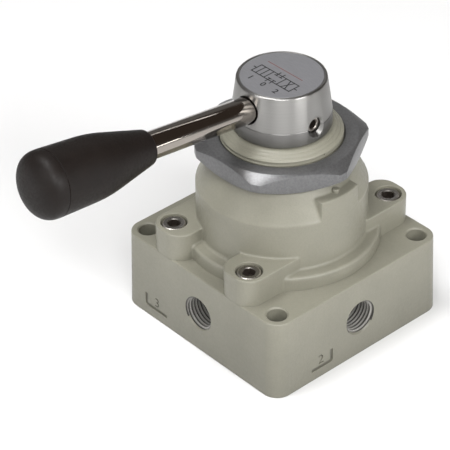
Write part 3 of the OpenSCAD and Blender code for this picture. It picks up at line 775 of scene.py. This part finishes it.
def set_screw():
    low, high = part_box("knob_set_screw")
    r, rim, face = SET_SCREW_RADIUS, SET_SCREW_SOCKET / 2, high.x
    screw = turned("set_screw", [
        (0, low.x), (r - 0.5 * MM, low.x), (r, low.x + 0.5 * MM), (r, face - 0.5 * MM), (r - 0.45 * MM, face),
        (rim + 0.45 * MM, face), (rim + 0.15 * MM, face - 0.3 * MM), (0, face - 0.3 * MM)], 48)
    cut(screw, hexagon("socket", SET_SCREW_SOCKET, face - SET_SCREW_SOCKET_DEPTH, face + MM))
    middle = (low.z + high.z) / 2
    darken_socket(along_x(screw, middle), SET_SCREW_SOCKET, lambda x, y, z: hypot(y, z - middle))
    return shade(screw)


def plate():
    low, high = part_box("name_plate")
    top = high.z - PRINT_THICKNESS
    return shade(turned("plate_disc", [
        (0, low.z), (PLATE_RADIUS, low.z), (PLATE_RADIUS, top - PLATE_EDGE), (PLATE_RADIUS - PLATE_EDGE, top),
        (0, top)]))


def stroke(start, end, top):
    """A thin printed line on the plate."""
    deselect()
    start, end = Vector(start), Vector(end)
    along, middle = end - start, (start + end) / 2
    bpy.ops.mesh.primitive_cube_add(
        size=1, location=(middle.x, middle.y, top - PRINT_THICKNESS / 2),
        rotation=(0, 0, along.angle_signed(Vector((1, 0)))),
        scale=(along.length + PRINT_STROKE, PRINT_STROKE, PRINT_THICKNESS))
    return named("stroke")


def joined(name, parts):
    """One object from several, which stay separate solids."""
    deselect()
    for part in parts:
        part.select_set(True)
    bpy.context.view_layer.objects.active = parts[0]
    bpy.ops.object.join()
    bundle = bpy.context.object
    bundle.name = name
    return bundle


def plate_symbol():
    """The usual drawing of a three-position, four-way valve, with plain numbers under its boxes."""
    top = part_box("name_plate")[1].z
    left, low, wide, tall = SYMBOL_LEFT, SYMBOL_LOW, SYMBOL_BOX, SYMBOL_HEIGHT
    right, high, third = left + 3 * wide, low + tall, wide / 3
    lines = [((left, low), (right, low)), ((left, high), (right, high))]
    lines += [((left + i * wide, low), (left + i * wide, high)) for i in range(4)]
    for i in (1, 2):
        # an upright in the first box, two blocked ports in the second, and half of a cross in the third
        x = left + i * third
        lines.append(((x, low), (x, high)))
        x += wide
        for side, inwards in ((low, tall), (high, -tall)):
            stop = side + 0.2 * inwards
            lines.append(((x, side - 0.25 * inwards), (x, stop)))
            lines.append(((x - SYMBOL_TICK, stop), (x + SYMBOL_TICK, stop)))
        lines.append(((left + 2 * wide + i * third, low), (left + 2 * wide + (3 - i) * third, high)))
    for end, way in ((left, -1), (right, 1)):
        lines.append(((end, low + tall / 2), (end + way * SYMBOL_END, low + tall / 2)))
    parts = [stroke(a, b, top) for a, b in lines]
    for i, number in enumerate("102"):
        label = digits(number, NUMBER_HEIGHT, PRINT_THICKNESS / 2, PRINT_BOLDNESS)
        place = (left + (i + 0.5) * wide, NUMBER_PLACE, top - PRINT_THICKNESS / 2)
        parts.append(clean(put(label, Matrix.Translation(place))))
    return joined("plate_symbol", parts)


def plate_stripe():
    """The plate's red line, as a printed stroke."""
    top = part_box("name_plate")[1].z
    stripe = stroke((SYMBOL_LEFT, STRIPE_PLACE), (STRIPE_END, STRIPE_PLACE), top)
    stripe.name = "plate_stripe"
    return stripe


def lever_rod():
    r, thread = ROD_RADIUS, ROD_THREAD_RADIUS
    waist, full, end = r - ROD_CHAMFER, ROD_SHOULDER + 2 * ROD_CHAMFER, INSERT_START + ROD_END_LENGTH
    bar = turned("chromed_rod", [
        (0, ROD_TIP), (thread - 0.7 * MM, ROD_TIP), (thread, ROD_TIP + 0.7 * MM), (thread, ROD_SHOULDER),
        (waist - 0.1 * MM, ROD_SHOULDER), (waist, ROD_SHOULDER + 0.1 * MM), (r - 0.12 * MM, full - 0.2 * MM),
        (r, full + 0.15 * MM), (r, INSERT_START), (thread, INSERT_START), (thread, end), (0, end)], 96)
    return shade(on_lever(bar), 40)


def bend_points(a, b, c, steps):
    """Points of a smooth bend that starts at a, leans on b and ends at c."""
    a, b, c = Vector(a), Vector(b), Vector(c)
    shares = [i / steps for i in range(steps + 1)]
    return [tuple((1 - u) ** 2 * a + 2 * u * (1 - u) * b + u * u * c) for u in shares]


def grip():
    """The grip's body, hollow for the rod, the insert and the cap's spigot."""
    slope = (GRIP_KNEE_RADIUS - GRIP_NECK_RADIUS) / (GRIP_KNEE - GRIP_START)
    rise = (GRIP_RADIUS - GRIP_KNEE_RADIUS) / (GRIP_END - GRIP_KNEE)
    reach, lip = GRIP_BEND, GRIP_MOUTH_ROUND
    bore, spigot = ROD_RADIUS + FIT_GAP, SPIGOT_RADIUS + FIT_GAP
    insert_end = INSERT_START + INSERT_LENGTH
    outline = [(bore, GRIP_START)]
    outline += arc_points(GRIP_NECK_RADIUS - lip, GRIP_START + lip, lip, 270, 348, 6)
    outline += bend_points(
        (GRIP_KNEE_RADIUS - slope * reach, GRIP_KNEE - reach), (GRIP_KNEE_RADIUS, GRIP_KNEE),
        (GRIP_KNEE_RADIUS + rise * reach, GRIP_KNEE + reach), 14)
    outline += [(GRIP_RADIUS - SEAM * rise, GRIP_END - SEAM),
                (GRIP_RADIUS - 0.6 * SEAM, GRIP_END - 0.3 * SEAM), (GRIP_RADIUS - 1.4 * SEAM, GRIP_END),
                (spigot, GRIP_END), (spigot, insert_end), (INSERT_RADIUS, insert_end),
                (INSERT_RADIUS, INSERT_START), (bore, INSERT_START), (bore, GRIP_START)]
    return shade(on_lever(turned("grip_body", outline)), 32)


def grip_cap():
    """The domed cap with its spigot; the seam to the grip's body is a fine rounded groove."""
    r, foot = GRIP_RADIUS, GRIP_END - SPIGOT_LENGTH
    steps, power = 18, 2 / CAP_SQUARENESS
    turns = [pi / 2 * i / steps for i in range(steps + 1)]
    crown = [(r * cos(turn) ** power, GRIP_END + CAP_LENGTH * sin(turn) ** power) for turn in turns]
    outline = [(0, foot), (SPIGOT_RADIUS, foot), (SPIGOT_RADIUS, GRIP_END), (r - 1.4 * SEAM, GRIP_END),
               (r - 0.5 * SEAM, GRIP_END + 0.4 * SEAM), (r, GRIP_END + SEAM)]
    outline += [point for point in crown if point[1] > GRIP_END + 1.5 * SEAM]
    outline[-1] = (0, GRIP_END + CAP_LENGTH)
    return shade(on_lever(turned("grip_end_cap", outline)), 32)


class Finish:
    """A node-built material: one Principled shader and what feeds it, in the object's own coordinates."""

    def __init__(self, name, color, roughness, metallic=0.0, **sockets):
        self.material = bpy.data.materials.new(name)
        self.material.use_nodes = True
        self.nodes = self.material.node_tree.nodes
        self.links = self.material.node_tree.links
        self.shader = self.nodes["Principled BSDF"]
        self.shader.inputs["Base Color"].default_value = (*color, 1)
        self.shader.inputs["Roughness"].default_value = roughness
        self.shader.inputs["Metallic"].default_value = metallic
        for socket, value in sockets.items():
            self.shader.inputs[socket.replace("_", " ")].default_value = value
        self.place = self.nodes.new("ShaderNodeTexCoord").outputs["Object"]
        self.relief = None

    def node(self, kind, **settings):
        node = self.nodes.new("ShaderNode" + kind)
        for name, value in settings.items():
            setattr(node, name, value)
        return node

    def math(self, operation, *values):
        node = self.node("Math", operation=operation)
        for socket, value in zip(node.inputs, values):
            if isinstance(value, (int, float)):
                socket.default_value = value
            else:
                self.links.new(value, socket)
        return node.outputs[0]

    def noise(self, size, detail=2.0, rough=0.5, where=None, stretch=None):
        """Noise with blobs about as large as size, in metres."""
        node = self.node("TexNoise")
        node.inputs["Scale"].default_value = 1 / size
        node.inputs["Detail"].default_value = detail
        node.inputs["Roughness"].default_value = rough
        source = where or self.place
        if stretch:
            mapping = self.node("Mapping")
            mapping.inputs["Scale"].default_value = stretch
            self.links.new(source, mapping.inputs["Vector"])
            source = mapping.outputs["Vector"]
        self.links.new(source, node.inputs["Vector"])
        return node.outputs["Fac"]

    def spread(self, value, low, high, start=0.3, end=0.7):
        """The value, taken from between start and end to between low and high."""
        node = self.node("MapRange")
        self.links.new(value, node.inputs["Value"])
        for socket, number in zip(("From Min", "From Max", "To Min", "To Max"), (start, end, low, high)):
            node.inputs[socket].default_value = number
        return node.outputs["Result"]

    def tint(self, value, low, high, start=0.3, end=0.7):
        """Colours the surface between two shades, as the value goes from start to end."""
        mix = self.node("Mix", data_type="RGBA", blend_type="MIX")
        self.links.new(self.spread(value, 0, 1, start, end), mix.inputs["Factor"])
        source = self.shader.inputs["Base Color"]
        mix.inputs["A"].default_value = (*low, 1)
        mix.inputs["B"].default_value = (*high, 1)
        self.links.new(mix.outputs["Result"], source)

    def vary(self, value, share):
        """Darkens and lightens the colour by the share, as the value goes."""
        color = self.shader.inputs["Base Color"].default_value[:3]
        self.tint(value, [c * (1 - share) for c in color], [min(1, c * (1 + share)) for c in color])

    def parts(self):
        node = self.node("SeparateXYZ")
        self.links.new(self.place, node.inputs["Vector"])
        return node.outputs

    def height(self):
        return self.parts()["Z"]

    def from_side(self, value, place):
        """How far the value is from the place, on either side of zero."""
        return self.math("SUBTRACT", self.math("ABSOLUTE", value), place)

    def from_middle(self, a, b):
        return self.math("SQRT", self.math("ADD", self.math("MULTIPLY", a, a), self.math("MULTIPLY", b, b)))

    def darken(self, value, share, start, end):
        """Multiplies the colour by the share where the value is at start or less, and by one from end on."""
        mix = self.node("Mix", data_type="RGBA", blend_type="MULTIPLY")
        mix.inputs["Factor"].default_value = 1
        color = self.shader.inputs["Base Color"]
        self.links.new(color.links[0].from_socket, mix.inputs["A"])
        self.links.new(self.spread(value, share, 1, start, end), mix.inputs["B"])
        self.links.new(mix.outputs["Result"], color)

    def shine(self, value, low, high, start=0.3, end=0.7):
        self.links.new(self.spread(value, low, high, start, end), self.shader.inputs["Roughness"])

    def bump(self, height, depth, strength=1.0):
        """Relief of that depth in metres, on top of what is there."""
        node = self.node("Bump")
        node.inputs["Strength"].default_value = strength
        node.inputs["Distance"].default_value = depth
        self.links.new(height, node.inputs["Height"])
        if self.relief:
            self.links.new(self.relief, node.inputs["Normal"])
        self.relief = node.outputs["Normal"]
        self.links.new(self.relief, self.shader.inputs["Normal"])

    def rings(self, fine):
        """A place that changes only with the distance from the valve's axis and the height."""
        x, y, z = self.parts()
        joined_up = self.node("CombineXYZ")
        self.links.new(self.math("MULTIPLY", self.from_middle(x, y), 1 / fine), joined_up.inputs["X"])
        self.links.new(self.math("MULTIPLY", z, 1 / fine), joined_up.inputs["Y"])
        return joined_up.outputs["Vector"]

    def lathe_marks(self, fine, depth):
        marks = self.noise(1, 4, 0.7, where=self.rings(fine))
        self.bump(marks, depth)
        return marks

    def round_grain(self, amount):
        """Stretches the gloss across the lathe's marks."""
        self.shader.inputs["Anisotropic"].default_value = amount
        self.shader.inputs["Anisotropic Rotation"].default_value = 0.25
        tangent = self.node("Tangent", direction_type="RADIAL", axis="Z")
        self.links.new(tangent.outputs["Tangent"], self.shader.inputs["Tangent"])


def cast_paint(name, color):
    finish = Finish(name, color, 0.42, Specular_IOR_Level=0.5)
    finish.vary(finish.noise(14 * MM, 3), 0.05)
    # painted shade: the paint darkens towards the bottom, where less light reaches near the floor
    finish.darken(finish.height(), 0.74, 0, 30 * MM)
    finish.darken(finish.noise(0.6 * MM, 3, 0.7), 0.93, 0.35, 0.6)
    finish.shine(finish.noise(1.2 * MM, 3), 0.36, 0.52)
    finish.bump(finish.noise(0.9 * MM, 4, 0.65), 0.08 * MM, 0.8)
    finish.bump(finish.noise(0.3 * MM, 2), 0.02 * MM, 0.6)
    return finish.material


def turned_metal(name, color, roughness, metallic, grain, marks):
    finish = Finish(name, color, roughness, metallic)
    lines = finish.lathe_marks(marks, 0.008 * MM)
    finish.vary(lines, 0.09)
    finish.shine(lines, roughness - 0.06, roughness + 0.06)
    finish.round_grain(grain)
    return finish


def knob_aluminium():
    finish = turned_metal("turned_knob", (0.31, 0.305, 0.295), 0.36, 1.0, 0.85, 0.09 * MM)
    edge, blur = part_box("knob")[0].z + KNOB_BAND, 0.05 * MM
    finish.darken(finish.height(), 0.62, edge - blur, edge + blur)
    return finish.material


def nut_aluminium():
    finish = turned_metal("turned_nut", (0.165, 0.165, 0.167), 0.34, 0.65, 0.6, 0.11 * MM)
    finish.darken(finish.noise(0.8 * MM, 4, 0.7), 0.8, 0.38, 0.6)
    finish.bump(finish.noise(0.4 * MM, 3, 0.65), 0.025 * MM, 0.7)
    return finish.material


def brushed_plate():
    finish = Finish("brushed_plate", (0.28, 0.28, 0.295), 0.36, 0.6)
    lines = finish.noise(0.12 * MM, 3, 0.6, stretch=(0.04, 1, 1))
    finish.vary(lines, 0.14)
    finish.shine(lines, 0.3, 0.46)
    finish.bump(lines, 0.004 * MM, 0.6)
    return finish.material


def bare_threads():
    """Machined casting metal in the ports, with painted shade that darkens the grooves of the thread."""
    color = (0.36, 0.35, 0.325)
    finish = Finish("bare_threads", color, 0.3, 0.4)
    x, y, z = finish.parts()
    across = finish.math("MINIMUM", finish.math("ABSOLUTE", x), finish.math("ABSOLUTE", y))
    radius = finish.from_middle(across, finish.math("SUBTRACT", z, PORT_HEIGHT))
    # painted shade: darker from the thread's crests towards the roots of its grooves
    finish.tint(radius, color, (0.02, 0.018, 0.015), PORT_RADIUS + 0.05 * MM, PIPE_THREAD_RADIUS)
    lines = finish.noise(0.15 * MM, 3)
    finish.shine(lines, 0.22, 0.4)
    finish.bump(lines, 0.004 * MM, 0.6)
    return finish.material


def chrome():
    finish = Finish("chrome", (0.34, 0.31, 0.28), 0.07, 1.0)
    smear = finish.noise(3 * MM, 3, 0.6)
    finish.vary(smear, 0.03)
    finish.shine(smear, 0.04, 0.12)
    finish.bump(finish.noise(0.25 * MM, 2), 0.0006 * MM, 0.5)
    return finish.material


def moulded_plastic():
    finish = Finish("moulded_plastic", (0.0085, 0.006, 0.005), 0.5, Specular_IOR_Level=0.2)
    finish.vary(finish.noise(5 * MM, 3), 0.12)
    finish.shine(finish.noise(0.8 * MM, 3), 0.42, 0.58)
    finish.bump(finish.noise(0.35 * MM, 3, 0.6), 0.012 * MM, 0.6)
    return finish.material


def dark_steel(name, color):
    finish = Finish(name, color, 0.3, 1.0)
    worn = finish.noise(1.1 * MM, 4, 0.65)
    finish.vary(worn, 0.15)
    finish.shine(worn, 0.36, 0.24)
    finish.bump(finish.noise(0.25 * MM, 2), 0.004 * MM, 0.6)
    return finish


def heads_painted_highlight():
    """The cover screws' dark steel, with a painted highlight round the rims of their heads."""
    finish = dark_steel("heads_painted_highlight", (0.55, 0.52, 0.48))
    x, y, _ = finish.parts()
    edge = SCREW_HEAD_RADIUS - SCREW_HEAD_ROUND
    radius = finish.from_middle(finish.from_side(x, EAR_X), finish.from_side(y, EAR_Y))
    # painted highlight: the rims keep the full colour and the flat faces inside them are darkened
    finish.darken(radius, 0.45, edge, edge + 0.2 * MM)
    return finish.material


def socket_painted_shade():
    # painted shade: the steel inside the sockets is coloured nearly black for the shade deep in them
    finish = Finish("socket_painted_shade", (0.05, 0.04, 0.033), 0.45, 0.6)
    mottle = finish.noise(0.5 * MM, 3, 0.6)
    finish.vary(mottle, 0.3)
    finish.shine(mottle, 0.3, 0.55)
    return finish.material


def ground_steel(name, color, size):
    finish = Finish(name, color, 0.28, 1.0)
    lines = finish.noise(size, 3, 0.6, stretch=(1, 1, 0.2))
    finish.vary(lines, 0.08)
    finish.shine(lines, 0.2, 0.36)
    finish.bump(lines, 0.003 * MM, 0.6)
    return finish.material


def rubber():
    finish = Finish("seal_rubber", (0.02, 0.02, 0.02), 0.72, Specular_IOR_Level=0.4)
    finish.vary(finish.noise(2 * MM, 3), 0.2)
    finish.shine(finish.noise(0.6 * MM, 2), 0.62, 0.8)
    finish.bump(finish.noise(0.3 * MM, 3), 0.01 * MM, 0.6)
    return finish.material


def print_ink(name, color):
    finish = Finish(name, color, 0.55)
    finish.vary(finish.noise(0.4 * MM, 3), 0.15)
    finish.shine(finish.noise(0.3 * MM, 2), 0.48, 0.64)
    return finish.material


def coat(piece, *materials):
    indices = [face.material_index for face in piece.data.polygons]
    piece.data.materials.clear()
    for material in materials:
        piece.data.materials.append(material)
    piece.data.polygons.foreach_set("material_index", indices)
    return piece


def coat_node(name, material):
    node = nodes[name]
    for slot in node.material_slots:
        slot.material = material
    if not node.material_slots:
        node.data.materials.append(material)


def floor():
    deselect()
    bpy.ops.mesh.primitive_plane_add(size=FLOOR_SIZE, location=(0, 0, -FLOOR_DROP))
    piece = named("floor")
    finish = Finish("pale_floor", (FLOOR_SHADE,) * 3, 0.8, Specular_IOR_Level=0.0)
    finish.vary(finish.noise(0.3, 2), 0.01)
    coat(piece, finish.material)


def soft_light(name, place, aim, size, power):
    deselect()
    place, aim = Vector(place), Vector(aim)
    turn = (place - aim).to_track_quat("Z", "Y").to_euler()
    bpy.ops.object.light_add(type="AREA", location=place, rotation=turn)
    lamp = bpy.context.object
    lamp.name = name
    lamp.data.shape = "RECTANGLE"
    lamp.data.size, lamp.data.size_y = size
    lamp.data.energy = power


def sky():
    """A studio's grey surroundings, with a dark part above and behind that the chromed rod shows."""
    world = bpy.data.worlds.new("studio")
    bpy.context.scene.world = world
    world.use_nodes = True
    made, links = world.node_tree.nodes, world.node_tree.links
    place = made.new("ShaderNodeTexCoord").outputs["Generated"]
    parts = made.new("ShaderNodeSeparateXYZ")
    ramp = made.new("ShaderNodeValToRGB")
    links.new(place, parts.inputs["Vector"])
    links.new(parts.outputs["Z"], ramp.inputs["Fac"])
    stops = ramp.color_ramp.elements
    stops[0].position, stops[0].color = 0.0, (*WALL_SHADE, 1)
    stops[1].position, stops[1].color = CEILING_PLACE, (*CEILING_SHADE, 1)
    stops.new(0.5).color = (*UPPER_SHADE, 1)
    nearness = made.new("ShaderNodeVectorMath")
    nearness.operation = "DOT_PRODUCT"
    nearness.inputs[1].default_value = Vector(DARK_PART).normalized()
    links.new(place, nearness.inputs[0])
    part = made.new("ShaderNodeMapRange")
    part.interpolation_type = "SMOOTHSTEP"
    part.inputs["From Min"].default_value, part.inputs["From Max"].default_value = DARK_PART_EDGE
    links.new(nearness.outputs["Value"], part.inputs["Value"])
    mix = made.new("ShaderNodeMix")
    mix.data_type = "RGBA"
    mix.inputs["B"].default_value = (*DARK_SHADE, 1)
    links.new(part.outputs["Result"], mix.inputs["Factor"])
    links.new(ramp.outputs["Color"], mix.inputs["A"])
    links.new(mix.outputs["Result"], made["Background"].inputs["Color"])


def studio_lights():
    valve = (0, 0, 0.04)
    soft_light("left_front", (-0.12, -1.1, 0.46), valve, (0.5, 0.4), 2.6)
    soft_light("right", (1.05, 0.05, 0.57), valve, (0.5, 0.4), 8.4)
    soft_light("front", (0.66, -0.58, 0.82), valve, (0.6, 0.5), 8.5)
    soft_light("above", (-0.19, -0.29, 1.15), valve, (0.5, 0.5), 9)
    # two narrow ones that draw the thin bright lines on the chromed rod
    soft_light("low_line", (1.03, 0.79, 0.13), (0, 0, 0.09), (0.3, 0.05), 0.5)
    soft_light("high_line", (-0.6, 1.02, 0.93), (0, -0.03, 0.09), (0.9, 0.035), 0.35)


paint = cast_paint("cast_paint", (0.22, 0.213, 0.169))
# painted shade: the darker paint of the sunk marks stands in for the shade in their grooves
sunk_painted_shade = cast_paint("sunk_painted_shade", (0.14, 0.136, 0.11))
threads = bare_threads()
nut_metal = nut_aluminium()
knob_metal = knob_aluminium()
plate_metal = brushed_plate()
bright = chrome()
plastic = moulded_plastic()
screw_metal = dark_steel("dark_steel", (0.34, 0.315, 0.285)).material
head_metal = heads_painted_highlight()
socket_metal = socket_painted_shade()
steel = ground_steel("ground_steel", (0.56, 0.56, 0.57), 0.15 * MM)
wire = ground_steel("spring_wire", (0.42, 0.42, 0.44), 0.2 * MM)
bronze = ground_steel("bearing_bronze", (0.62, 0.43, 0.2), 0.18 * MM)
seal = rubber()
dark_ink = print_ink("dark_ink", (0.012, 0.012, 0.013))
red_ink = print_ink("red_ink", (0.16, 0.085, 0.085))

KEPT = {
    "port_seals": seal, "body_seal": seal, "stem_seal": seal,
    "seat_plate": steel, "seat_dowels": steel, "detent_ring": steel, "stop_pin": steel, "rotor_disc": steel,
    "drive_pins": steel, "stem": steel, "detent_ball_right": steel, "detent_ball_left": steel,
    "rotor_spring": wire, "detent_spring": wire, "thrust_washer": bronze, "stem_bush": bronze,
    "grip_insert": bronze, "centre_screw": screw_metal, "locating_pin": paint,
}
for name, material in KEPT.items():
    coat_node(name, material)

NEW = [
    (base_casting, (paint, threads, sunk_painted_shade), "body_paint", "root", "base_block"),
    (bonnet_casting, (paint,), "body_paint", "root", "bonnet"),
    (cover_screws, (head_metal, socket_metal), "screw_steel", "root", "cover_screws"),
    (panel_nut, (nut_metal,), "nut_aluminium", "root", "panel_nut"),
    (knob, (knob_metal,), "knob_aluminium", "lever", "knob"),
    (set_screw, (screw_metal, socket_metal), "screw_steel", "lever", "knob_set_screw"),
    (plate, (plate_metal,), "plate_aluminium", "lever", "name_plate"),
    (plate_symbol, (dark_ink,), "plate_aluminium", "lever", None),
    (plate_stripe, (red_ink,), "plate_aluminium", "lever", None),
    (lever_rod, (bright,), "rod_chrome", "lever", "lever_rod"),
    (grip, (plastic,), "grip_plastic", "lever", "grip"),
    (grip_cap, (plastic,), "grip_plastic", "lever", "grip_cap"),
]
for make, materials, slot, body, node in NEW:
    piece = coat(make(), *materials)
    if node:
        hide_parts(node)
    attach(piece, body)

camera()
floor()
sky()
studio_lights()
bpy.context.scene.view_settings.view_transform = "Standard"
